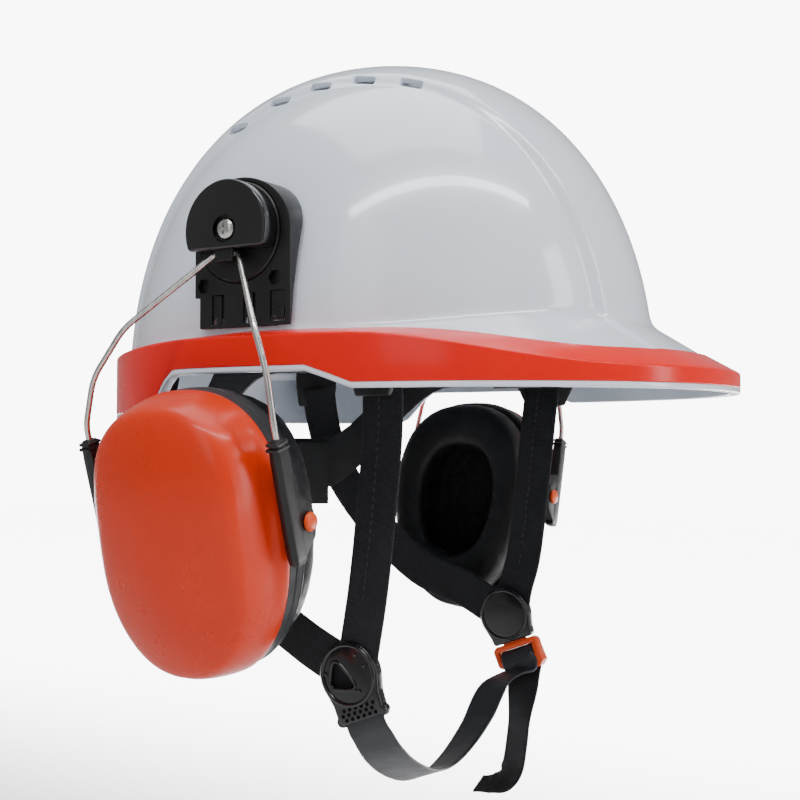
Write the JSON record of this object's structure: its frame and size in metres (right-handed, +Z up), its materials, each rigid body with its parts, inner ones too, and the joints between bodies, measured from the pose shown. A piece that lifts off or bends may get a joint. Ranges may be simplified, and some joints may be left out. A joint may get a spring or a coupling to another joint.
{
  "type": "forestry helmet",
  "caption": "Hard-shell forestry helmet with a wide visor brim, vented raised crown, swing-out ear muffs on wire arms and a four-point chin strap.",
  "frame": {"origin": "middle of the head opening, level with the shell's lower side edge", "axes": "+X the wearer's left, +Y to the back of the head (the visor points along -Y), +Z up"},
  "size_m": [0.3, 0.278, 0.3327],
  "materials": {
    "shell_plastic": "glossy white moulded ABS",
    "band_plastic": "glossy red-orange moulded trim",
    "black_plastic": "black moulded nylon, satin with glossy edges",
    "harness_plastic": "black polyethylene, matte",
    "webbing": "woven polyester webbing, dark grey",
    "sweat_fabric": "brushed foam-backed sweatband",
    "cup_plastic": "semi-gloss orange ABS",
    "button_plastic": "orange acetal",
    "ring_plastic": "dark grey backing plate",
    "cushion_vinyl": "soft black vinyl over foam",
    "foam": "open-cell charcoal foam",
    "steel": "stainless spring wire and screw"
  },
  "bodies": {
    "helmet": {"shell": "shell_plastic", "brim_band": "band_plastic", "adapter_left": "black_plastic", "adapter_right": "black_plastic", "adapter_screws": "steel", "headband": "harness_plastic", "sweatband": "sweat_fabric", "crown_strap_long": "webbing", "crown_strap_left": "webbing", "crown_strap_right": "webbing", "hanger_clips": "harness_plastic", "front_anchors": "harness_plastic", "rear_anchors": "harness_plastic", "front_strap_left": "webbing", "front_strap_right": "webbing", "rear_strap_left": "webbing", "rear_strap_right": "webbing", "divider_left": "black_plastic", "divider_right": "black_plastic"},
    "nape": {"nape_band": "harness_plastic", "nape_pad": "sweat_fabric", "ratchet_cover": "harness_plastic"},
    "knob": {"ratchet_knob": "harness_plastic", "ratchet_pinion": "harness_plastic"},
    "chin": {"chin_strap": "webbing", "buckle_plug": "button_plastic", "strap_tail": "webbing"},
    "carrier_left": {"rotor_left": "black_plastic", "pivot_cap_left": "black_plastic"},
    "arm_left": {"wire_arm_left": "steel"},
    "holders_left": {"front_holder_left": "black_plastic", "rear_holder_left": "black_plastic"},
    "cup_left": {"ear_cup_left": "cup_plastic", "cup_ring_left": "ring_plastic", "cushion_left": "cushion_vinyl", "foam_insert_left": "foam", "pivot_buttons_left": "button_plastic"},
    "carrier_right": {"rotor_right": "black_plastic", "pivot_cap_right": "black_plastic"},
    "arm_right": {"wire_arm_right": "steel"},
    "holders_right": {"front_holder_right": "black_plastic", "rear_holder_right": "black_plastic"},
    "cup_right": {"ear_cup_right": "cup_plastic", "cup_ring_right": "ring_plastic", "cushion_right": "cushion_vinyl", "foam_insert_right": "foam", "pivot_buttons_right": "button_plastic"}
  },
  "joints": [
    {"name": "nape_slide", "type": "slide", "parent": "helmet", "child": "nape", "axis": [0, 1, 0], "range_m": [-0.01, 0]},
    {"name": "knob_turn", "type": "hinge", "parent": "nape", "child": "knob", "pos_m": [0, 0.097, -0.036], "axis": [0, 1, 0], "range_deg": [0, 115]},
    {"name": "chin_release", "type": "hinge", "parent": "helmet", "child": "chin", "pos_m": [-0.0715, -0.03624, -0.12805], "axis": [0, 0.9336, -0.3584], "range_deg": [0, 60]},
    {"name": "swing_left", "type": "hinge", "parent": "helmet", "child": "carrier_left", "pos_m": [0.106, 0, 0.061], "axis": [1, 0, 0], "range_deg": [-4, 1.5]},
    {"name": "flip_left", "type": "hinge", "parent": "carrier_left", "child": "arm_left", "pos_m": [0.111, 0.0018, 0.0518], "axis": [0, -1, 0], "range_deg": [0, 35]},
    {"name": "height_left", "type": "slide", "parent": "arm_left", "child": "holders_left", "axis": [-0.2924, 0, -0.9563], "range_m": [0, 0.02]},
    {"name": "tilt_left", "type": "hinge", "parent": "holders_left", "child": "cup_left", "pos_m": [0.11245, 0.0095, -0.04831], "axis": [0, 1, 0], "range_deg": [-5, 4]},
    {"name": "swing_right", "type": "hinge", "parent": "helmet", "child": "carrier_right", "pos_m": [-0.106, 0, 0.061], "axis": [1, 0, 0], "range_deg": [-4, 1.5]},
    {"name": "flip_right", "type": "hinge", "parent": "carrier_right", "child": "arm_right", "pos_m": [-0.111, 0.0018, 0.0518], "axis": [0, 1, 0], "range_deg": [0, 35]},
    {"name": "height_right", "type": "slide", "parent": "arm_right", "child": "holders_right", "axis": [0.2924, 0, -0.9563], "range_m": [0, 0.02]},
    {"name": "tilt_right", "type": "hinge", "parent": "holders_right", "child": "cup_right", "pos_m": [-0.11245, 0.0095, -0.04831], "axis": [0, -1, 0], "range_deg": [-5, 4]}
  ],
  "couplings": [
    {"joint": "knob_turn", "follows": "nape_slide", "rad_per_m": -200}
  ]
}
